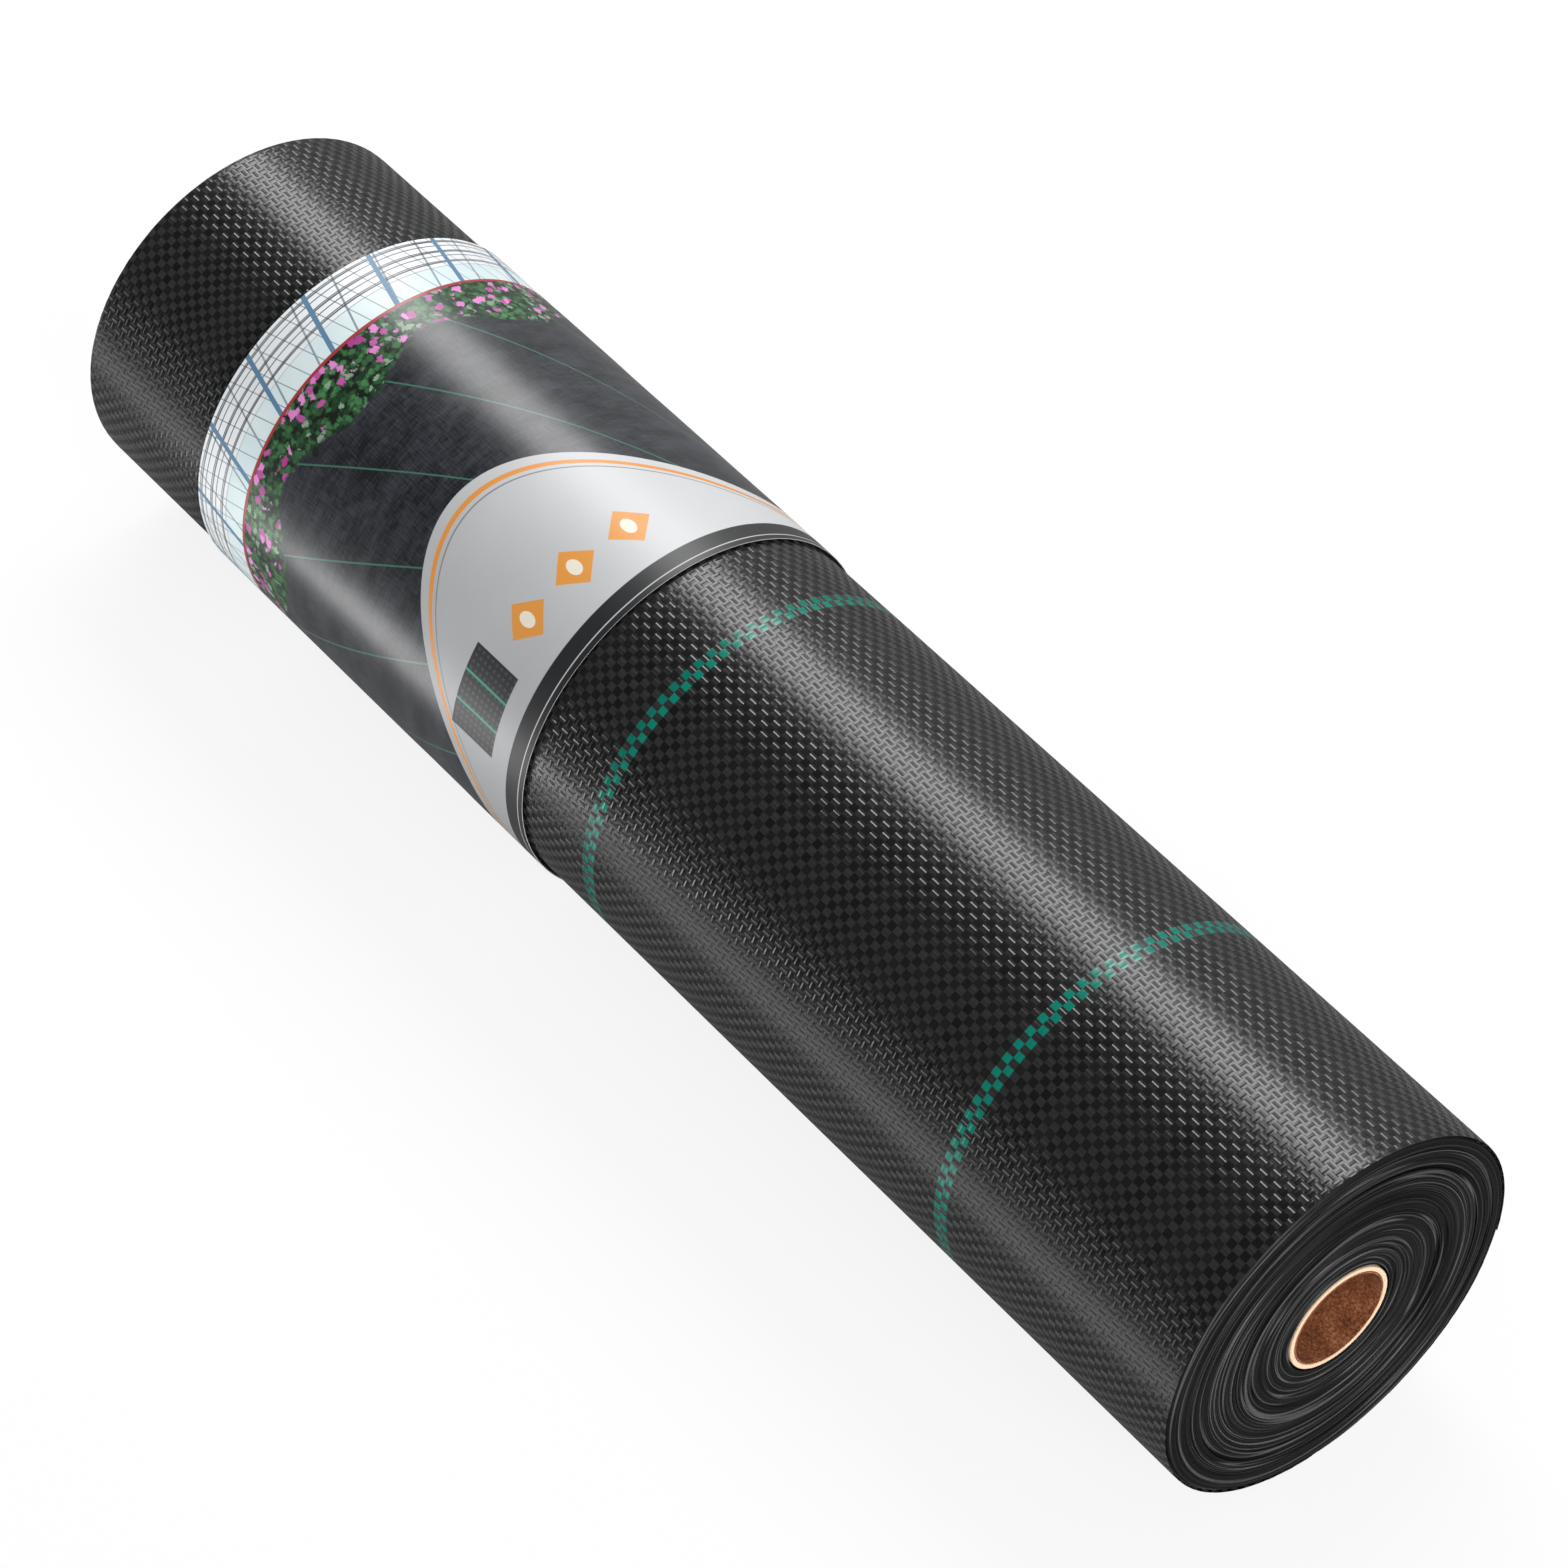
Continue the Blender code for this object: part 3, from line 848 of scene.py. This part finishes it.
def linerLook():
    # kraft paper, with the seam of its spiral winding
    look = Look("kraft_liner", "kraft_liner")
    along, across = look.surface()
    place = look.vector(along * (tubeHigh.y / rollRadius), across)
    fibres = look.noise(place, 560, 4, 0.62)
    blotches = look.noise(place, 90, 3)
    pitch = core["seamPitch"]
    seam = (along * (pitch / (2 * math.pi * rollRadius)) + across) % pitch
    groove = (seam / core["seamWidth"]).math("MINIMUM", 1)
    tint = (fibres * 0.68 + blotches * 0.32) * groove.spread(0.8, 1)
    return look.finish(
        Base_Color=look.ramp(tint, core["liner"]),
        Roughness=fibres.spread(0.70, 0.95),
        Normal=look.bump(fibres * 0.5 + groove, 0.00015),
    )


def rimSection(length, outer, inner):
    # outline of a tube's wall, with its plies' edges at both ends
    shares = np.linspace(*core["pliesSpan"], core["plies"] * 2 - 1)
    wall, edge = outer - inner, core["edgeRound"]
    turn = np.linspace(0, math.pi / 2, core["roundSteps"] + 1)
    corner = [(length - edge * (1 - math.sin(t)), edge * (1 - math.cos(t))) for t in turn]
    near = corner + [(length - core["plyStep"] * (n % 2), s * wall) for n, s in enumerate(shares, 1)]
    near += [(x, wall - depth) for x, depth in reversed(corner)]
    return near + [(-x, depth) for x, depth in reversed(near)]


def makeTube(name, node, section, outer, look):
    def radiusAt(angle, x, depth):
        return outer - depth

    angles = np.arange(core["segments"]) * (-fullTurn / core["segments"])
    wrapSection(name, node, section, angles, radiusAt, look, "roll", True)


def makeCore():
    outer, bore = tubeHigh.y, linerHigh.y
    section = rimSection(tubeHigh.x, outer, bore + wrap["pieceGap"])
    makeTube("core_plies", "core_tube", section, outer, boardLook())
    end = linerHigh.x
    inset, drop = core["liningEdge"]
    section = [(end, drop), (end - inset, 0), (inset - end, 0), (-end, drop)]
    section += [(x, core["lining"]) for x in np.linspace(-end, end, core["liningStations"])]
    makeTube("core_lining", "core_liner", section, bore, linerLook())


makeCore()
print("core made")


# Paper sleeve
sleeve = {
    "lapEdge": 130.0,
    "lapLength": 0.030,
    "lapStep": 0.010,
    "lapDrop": 0.0013,
    "columns": 60,
    "insideColumns": 4,
    "angleStep": 1.5,
    "swell": 0.00016,
    "swells": (7, 12),  # along the sleeve and round it
    "swellSpan": 0.999,  # keeps the last place before the swells' seam
    "calm": (0.90, 0.1),  # close to the ground the paper lies smooth
    "seed": 3,
}

# Its print: a lattice, leaves with flowers, dark cloth and a pale panel.
# Metres round the roll from the print's middle, and along it from the sleeve's near edge.
ink = {
    "middle": -29.4,
    "repeats": 2,
    "soft": (0.0004, 0.0003),  # width of a shape's edge, and of a line's
    "panes": 0.029,  # where the lattice ends and the panes below it start
    "sky": ((0.62, 0.66, 0.69), (0.87, 0.88, 0.89)),
    "paneColours": ((0.42, 0.62, 0.66), (0.79, 0.84, 0.84)),
    # Of each kind of line: from one to the next, and its width
    "rails": (0.0053, 0.0008),
    "boards": (0.0106, 0.0012),
    "boardShift": 0.0014,
    "wires": (0.0122, 0.0007),
    "posts": (0.0305, 0.0014),
    "poleWidth": 0.0034,
    "wire": (0.045, 0.095, 0.15),
    "rail": (0.014, 0.020, 0.034),
    "pole": (0.085, 0.20, 0.33),
    "redLine": (0.046, 0.0482),
    "red": (0.36, 0.025, 0.03),
    "leafEnd": 0.082,
    "leafCells": 270.0,
    "leaf": ((0.004, 0.026, 0.012), (0.060, 0.23, 0.070)),
    "leafShade": (0.003, 0.010, 0.004),
    "leafGlint": (0.34, 0.42, 0.34),
    "flowerCells": 150.0,
    "flowerStart": 0.070,
    "flower": ((0.38, 0.030, 0.25), (0.75, 0.25, 0.62)),
    "threads": (900, 90),  # in a metre across them and along them
    "darkCloth": ((0.006, 0.007, 0.009), (0.052, 0.058, 0.075)),
    "clothLine": (0.05, 0.20, 0.13),
    "clothLineWidth": 0.0013,
    "arch": (0.182, 0.100),  # its foot, and its height
    "panelFade": 0.15,  # stretch over which the pale panel gets paler
    "panel": ((0.36, 0.365, 0.375), (0.60, 0.61, 0.62)),
    "orangeEdge": (0.0075, 0.0110),  # beyond the arch
    "greyEdge": (0.0140, 0.0150),
    "orange": (0.72, 0.27, 0.035),
    "grey": (0.20, 0.21, 0.22),
    "tile": 0.040,  # from one diamond to the next
    "tilesAside": (1.9, 1.1),  # how many to each side of the middle
    "tileDown": 0.276,
    "diamond": 0.0150,
    "drop": 0.0062,  # the pale spot in a diamond
    "diamondColour": (0.72, 0.29, 0.04),
    "dropColour": (0.80, 0.74, 0.62),
    "swatch": (0.082, 0.274),
    "swatchHalf": (0.028, 0.019),
    "checks": (0.0042, 0.0021),
    "swatchLines": (0.020, 0.0016),
    "swatchColours": ((0.014, 0.015, 0.017), (0.050, 0.052, 0.056)),
    "swatchGreen": (0.02, 0.30, 0.20),
    "panelEnd": 0.3075,  # where the plain dark band starts, with its pale line
    "paleLine": (0.3185, 0.3192),
    "band": ((0.014, 0.015, 0.017), (0.55, 0.56, 0.57)),
    "bare": ((0.52, 0.53, 0.53), (0.66, 0.67, 0.67)),  # the back of the paper
    "roughness": (0.26, 0.34),
    "paleRough": (0.12, 0.14),  # how much rougher the lattice and the panel are
    "specular": 0.6,
    "sheen": 0.09,
}


def paperRadius(angle):
    # outer face of the paper, which steps in below its own lap
    radius = sleeveHigh.y
    lapEdge = sleeve["lapEdge"] - fullTurn + np.degrees(wrap["pieceGap"] / radius)
    before = np.radians(angle - lapEdge) * radius / sleeve["lapStep"]
    return radius - sleeve["lapDrop"] * ease(1 - before)


def step(value, edge, soft=ink["soft"][0]):
    # 0 before an edge and 1 after it
    return ((value - edge) / soft + 0.5).math("ADD", 0, clamp=True)


def within(value, low, high):
    return step(value, low) * (1 - step(value, high))


def lines(value, pitch, width):
    offset = abs(value % pitch - pitch / 2)
    return 1 - step(offset, width / 2, ink["soft"][1])


def latticeColour(look, side, down, soft, period):
    low = step(down, ink["panes"], 0.003)
    colour = look.mix(low * 0.8, look.mix(soft, *ink["sky"]), look.mix(soft, *ink["paneColours"]))
    sway = (look.noise(look.vector(side * 14, down * 6), 1.0, 1) - 0.5) * 0.0032
    boards = lines(down + sway * 0.4 + ink["boardShift"], *ink["boards"])
    rails = lines(down + sway, *ink["rails"]).math("MAXIMUM", boards)
    posts = lines(side - down * 0.3, *ink["posts"])
    wires = lines(side + down * 0.25, *ink["wires"]).math("MAXIMUM", posts)
    colour = look.mix(wires * soft.spread(0.4, 1.0), colour, ink["wire"])
    colour = look.mix(rails * (1 - low) * soft.spread(0.5, 1.2).math("MINIMUM", 1), colour, ink["rail"])
    return look.mix(lines(side - down * 0.25, period / 8, ink["poleWidth"]), colour, ink["pole"])


def plantColour(look, side, down, place, soft, grain):
    # leaves, with flowers in beds
    wobble = (look.noise(place, 260) - 0.5) * 0.006
    bent = look.vector(side + wobble, down + (grain - 0.5) * 0.004)
    cells, tint = look.cells(bent, ink["leafCells"])[:2]
    leaf = look.mix(tint * soft.spread(0.3, 1.5), *ink["leaf"])
    leaf = look.mix(step(cells, 0.60, 0.3), leaf, ink["leafShade"])
    leaf = look.mix(step(tint, 0.93, 0.02) * 0.6, leaf, ink["leafGlint"])
    petals, _, chance, hue = look.cells(bent, ink["flowerCells"])
    beds = look.noise(place, 55, 1)
    bare = step(down, ink["flowerStart"], 0.03).spread(0.35, 1.0) - (beds - 0.5) * 1.6
    flower = (1 - step(petals + (cells - 0.5) * 0.25, 0.46, 0.08)) * step(chance - bare, 0.0, 0.02)
    return look.mix(flower, leaf, look.mix(hue, *ink["flower"]))


def clothColour(look, side, down, period):
    # folded dark cloth, with green lines
    folds = look.noise(look.vector(side * 22 + down * 9, down * 60), 1.0, 4, 0.65)
    across, along = ink["threads"]
    upright = look.noise(look.vector(side * across, down * along), 1.0, 1)
    level = look.noise(look.vector(side * along, down * across), 1.0, 1)
    threads = upright * 0.5 + level * 0.5
    dark = look.mix(step(folds, 0.52, 0.4) * 0.7 + (threads - 0.5) * 2.0, *ink["darkCloth"])
    green = lines(side + down * 0.6, period / 6, ink["clothLineWidth"]) * 0.7
    return look.mix(green, dark, ink["clothLine"])


def panelColour(look, side, down, beyond, soft):
    # pale, with an arched orange edge, a row of diamonds and a swatch of weave
    pale = (1 - step(side, 0.0, ink["panelFade"])) * 0.8 + soft * 0.2
    panel = look.mix(pale, *ink["panel"])
    panel = look.mix(within(beyond, *ink["orangeEdge"]), panel, ink["orange"])
    panel = look.mix(within(beyond, *ink["greyEdge"]), panel, ink["grey"])
    tile = ink["tile"]
    before, after = ink["tilesAside"]
    offset = (side + tile * before) % tile - tile / 2
    rise = down - ink["tileDown"]
    row = within(side, -tile * before, tile * after)
    mark = (1 - step(abs(offset) + abs(rise), ink["diamond"])) * row
    drop = (offset * offset * 2.2 + rise * rise) ** 0.5
    panel = look.mix(mark, panel, ink["diamondColour"])
    panel = look.mix((1 - step(drop, ink["drop"])) * mark, panel, ink["dropColour"])
    (middle, level), (halfSide, halfDown) = ink["swatch"], ink["swatchHalf"]
    patch = (1 - step(abs(side - middle), halfSide)) * (1 - step(abs(down - level), halfDown))
    checks = lines(side, *ink["checks"]) * lines(down, *ink["checks"])
    swatch = look.mix(checks, *ink["swatchColours"])
    swatch = look.mix(lines(side - middle, *ink["swatchLines"]), swatch, ink["swatchGreen"])
    return look.mix(patch, panel, swatch)


def printLook():
    look = Look("printed_paper", "printed_paper")
    along, down = look.surface()
    period = 2 * math.pi * sleeveHigh.y / ink["repeats"]
    middle = math.radians(-ink["middle"]) * sleeveHigh.y
    side = (along * (sleeveHigh.y / rollRadius) - middle + period / 2) % period - period / 2
    place = look.vector(side, down)
    grain = look.noise(place, 900)
    soft = look.noise(place, 22, 3)
    colour = latticeColour(look, side, down, soft, period)
    redStart, redEnd = ink["redLine"]
    colour = look.mix(step(down, redStart), colour, ink["red"])
    colour = look.mix(step(down, redEnd), colour, plantColour(look, side, down, place, soft, grain))
    wander = (look.noise(place, 60) - 0.5) * 0.012
    scallop = (side * (2 * math.pi / period * 3)).math("COSINE") * 0.010
    leafEnd = wander + scallop + ink["leafEnd"]
    colour = look.mix(step(down, leafEnd, 0.003), colour, clothColour(look, side, down, period))
    foot, height = ink["arch"]
    turned = side * (2 * math.pi / period)
    beyond = down - (foot + (1 - turned.math("COSINE")) * (height / 2))
    colour = look.mix(step(beyond, 0.0), colour, panelColour(look, side, down, beyond, soft))
    band = look.mix(within(down, *ink["paleLine"]), *ink["band"])
    colour = look.mix(step(down, ink["panelEnd"]), colour, band)
    width = sleeveHigh.x - sleeveLow.x
    colour = look.mix(step(down, width, 0.0001), colour, look.mix(grain, *ink["bare"]))
    latticeRough, panelRough = ink["paleRough"]
    rough = (grain * 0.3 + soft * 0.7).spread(*ink["roughness"]) + step(beyond, 0.0) * panelRough
    return look.finish(
        Base_Color=colour,
        Roughness=rough + (1 - step(down, redStart)) * latticeRough,
        Normal=look.bump(grain, 0.00002),
        Specular_IOR_Level=ink["specular"],
        Sheen_Weight=ink["sheen"],
    )


def glueLook():
    look = Look("glue_strip", "glue_strip")
    blobs = look.noise(look.coordinates(), 260, 3)
    base, rough = look.mix(blobs, (0.52, 0.47, 0.33), (0.78, 0.74, 0.62)), blobs.spread(0.3, 0.6)
    return look.finish(Base_Color=base, Roughness=rough, Normal=look.bump(blobs, 0.0001))


def makeSleeve():
    rng = np.random.default_rng(sleeve["seed"])
    start, width = sleeve["lapEdge"], sleeveHigh.x - sleeveLow.x
    last = start - fullTurn - np.degrees(sleeve["lapLength"] / sleeveHigh.y)
    angles = np.linspace(start, last, int((start - last) / sleeve["angleStep"]) + 1)
    outside = [(x, 0.0) for x in np.linspace(sleeveLow.x, sleeveHigh.x, sleeve["columns"] + 1)]
    stations = np.linspace(sleeveHigh.x, sleeveLow.x, sleeve["insideColumns"] + 1)
    inside = [(x, wrap["paper"]) for x in stations]

    def radiusAt(angle, x, depth):
        alongCount, roundCount = sleeve["swells"]
        across = (x - sleeveLow.x) / width * alongCount
        around = (start - angle) / (start - last + nearZero) * sleeve["swellSpan"]
        swell = sleeve["swell"] * np.clip(ripple(rng, across, around, 1.0, roundCount), -1, 0.0)
        radius = paperRadius(angle) - depth
        level, stretch = sleeve["calm"]
        fade = np.clip((np.cos(np.radians(angle)) + level) / stretch, 0, 1)
        return pressed(radius + swell * fade * (depth == 0), angle, depth)

    look = printLook()
    wrapSection("sleeve_paper", "label_sleeve", outside + inside, angles, radiusAt, look, "label")
    glue = bpy.data.objects["label_glue_strip"]
    glue.material_slots[0].material = glueLook().material


makeSleeve()
print("sleeve printed")


# Clear tape over the free edge
film = {
    "length": 0.060,
    "step": 0.0020,
    "thickness": 0.0002,
    "stations": (61, 31),  # round the roll and along it
    "creases": 3,
    "crease": 0.00012,
    "creaseWidth": 0.02,  # in shares of the tape's width, and so its slant
    "creaseSlant": 0.1,
    "seed": 5,
}


def filmLook():
    look = Look("clear_film", "clear_film")
    along, across = look.surface()
    haze = look.noise(look.vector(along * 40, across * 140), 1.0, 3)
    bubbles = look.noise(look.vector(along, across), 700)
    return look.finish(
        Base_Color=look.mix(haze, (0.34, 0.34, 0.32), (0.52, 0.52, 0.49)),
        Roughness=bubbles.spread(0.10, 0.25),
        Alpha=(haze * 0.7 + bubbles * 0.3).spread(0.04, 0.40),
        Normal=look.bump(haze, 0.0002),
    )


clearFilm = filmLook()


def tapeRadius(angle):
    # outer face of the clear tape, which steps down past the free edge
    start = wrap["freeEdge"] + np.degrees(wrap["pieceGap"] / rollRadius)
    share = np.clip(np.radians(angle - start) * rollRadius / film["step"], 0, 1)
    below = turnRadius(angle - fullTurn)
    return rollRadius + (below - rollRadius) * share + wrap["pieceGap"] + film["thickness"]


def makeTapes():
    rng = np.random.default_rng(film["seed"])
    start, half = wrap["freeEdge"], np.degrees(film["length"] / 2 / rollRadius)
    rows, columns = film["stations"]
    angles = np.linspace(start + half, start - half, rows)
    for place, body in (("near", "free_end"), ("middle", "free_end"), ("far", "roll")):
        node = f"end_tape_{place}"
        low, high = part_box(node)
        section = [(x, 0.0) for x in np.linspace(low.x, high.x, columns)]
        section += [(high.x, film["thickness"]), (low.x, film["thickness"])]
        creases = rng.uniform(0, 1, film["creases"])

        def radiusAt(angle, x, depth):
            share = (x - low.x) / (high.x - low.x)
            slant = film["creaseSlant"] * (angle - start) / half
            fold = sum(np.exp(-((share - c - slant) / film["creaseWidth"]) ** 2) for c in creases)
            return tapeRadius(angle) - depth + film["crease"] * fold * (depth == 0)

        wrapSection(f"clear_tape_{place}", node, section, angles, radiusAt, clearFilm, body)
    bpy.data.objects["start_tape"].material_slots[0].material = clearFilm.material


makeTapes()
print("tapes laid")


# Floor, lights and world
studio = {
    "floorSize": 14.0,
    "floorColours": ((0.882, 0.882, 0.882), (0.90, 0.90, 0.90)),
    "whiteShare": 0.86,  # how much of the floor is plain white where the camera sees it
    "mirrorShare": 0.90,  # the same in mirror-like faces
    "mirrorWhite": 0.10,
    "ambient": 0.50,
    "skyDark": 0.03,  # of the studio in front, and behind, as mirrored
    "skyPale": 0.40,
    "skyReach": (-0.1, 0.8),
    # Place, size and power of each lamp
    "strip": ((-1.75, 1.40, 2.51), (3.4, 1.2), 86.0),
    "fill": ((3.6, -0.6, 1.7), (1.6, 1.6), 80.0),
    "cards": [((-0.35, -0.42, 0.002), (2.0, 0.28), 2.35), ((-0.37, -0.42, 0.003), (0.25, 0.28), 0.72)],
}


def raysSeen(look):
    # rays from the camera or through glass, and rays from a mirror-like face
    kinds = (f"Is {kind} Ray" for kind in ("Camera", "Glossy", "Transmission"))
    camera, glossy, through = look.add("LightPath").outputs(*kinds)
    return camera.math("MAXIMUM", through), glossy


def makeFloor():
    look = Look("floor")
    grain = look.noise(look.coordinates(), 3.0)
    matte = look.add("BsdfDiffuse", {}, {"Color": look.mix(grain, *studio["floorColours"])})
    straight, mirrored = raysSeen(look)
    mirrored = mirrored * (1 - straight)
    strength = straight + mirrored * studio["mirrorWhite"]
    share = straight * studio["whiteShare"] + mirrored * studio["mirrorShare"]
    white = look.add("Emission", {}, {"Color": (1, 1, 1), "Strength": strength})
    mixed = look.add("MixShader", {}, {0: share, 1: matte, 2: white})
    look.feed(look.tree.nodes["Material Output"].inputs["Surface"], mixed)
    look.tree.nodes.remove(look.shader)
    shape = bmesh.new()
    bmesh.ops.create_grid(shape, x_segments=1, y_segments=1, size=studio["floorSize"] / 2)
    floor = addPiece("floor", shape, look, None, smooth=False)


def makeWorld():
    world = bpy.data.worlds.new("world")
    bpy.context.scene.world = world
    world.use_nodes = True
    world.node_tree.nodes.clear()
    sky = Nodes(world.node_tree)
    straight, mirrored = raysSeen(sky)
    behind = sky.axes(sky.coordinates("Generated"))[1]
    level = sky.ease(behind, *studio["skyReach"], studio["skyDark"], studio["skyPale"])
    strength = straight + (1 - straight) * (mirrored * level + (1 - mirrored) * studio["ambient"])
    shine = sky.add("Background", {}, {"Color": (1, 1, 1), "Strength": strength})
    sky.tree.links.new(shine.plug, sky.tree.nodes.new("ShaderNodeOutputWorld").inputs["Surface"])


def makeLamp(name, place, size, power):
    data = bpy.data.lights.new(name, "AREA")
    data.shape = "RECTANGLE"
    data.size, data.size_y = size
    data.energy = power
    lamp = bpy.data.objects.new(name, data)
    towards = Vector((0, 0, axisHeight)) - Vector(place)
    lamp.location = place
    lamp.rotation_euler = towards.to_track_quat("-Z", "Y").to_euler()
    bpy.context.collection.objects.link(lamp)
    return lamp


def makeStrip():
    # a long lamp beside the roll, tilted towards it
    lamp = makeLamp("strip_lamp", *studio["strip"])
    lamp.rotation_euler = (-math.atan2(*studio["strip"][0][1:]), 0, 0)


def makeCards():
    # lie on the floor and shine up
    for number, card in enumerate(studio["cards"], 1):
        lamp = makeLamp(f"card_lamp_{number}", *card)
        lamp.rotation_euler = (math.pi, 0, 0)
        lamp.visible_camera = False


makeFloor()
makeWorld()
makeStrip()
makeCards()
makeLamp("fill_lamp", *studio["fill"])
bpy.context.scene.view_settings.view_transform = "Standard"
print("studio lit")
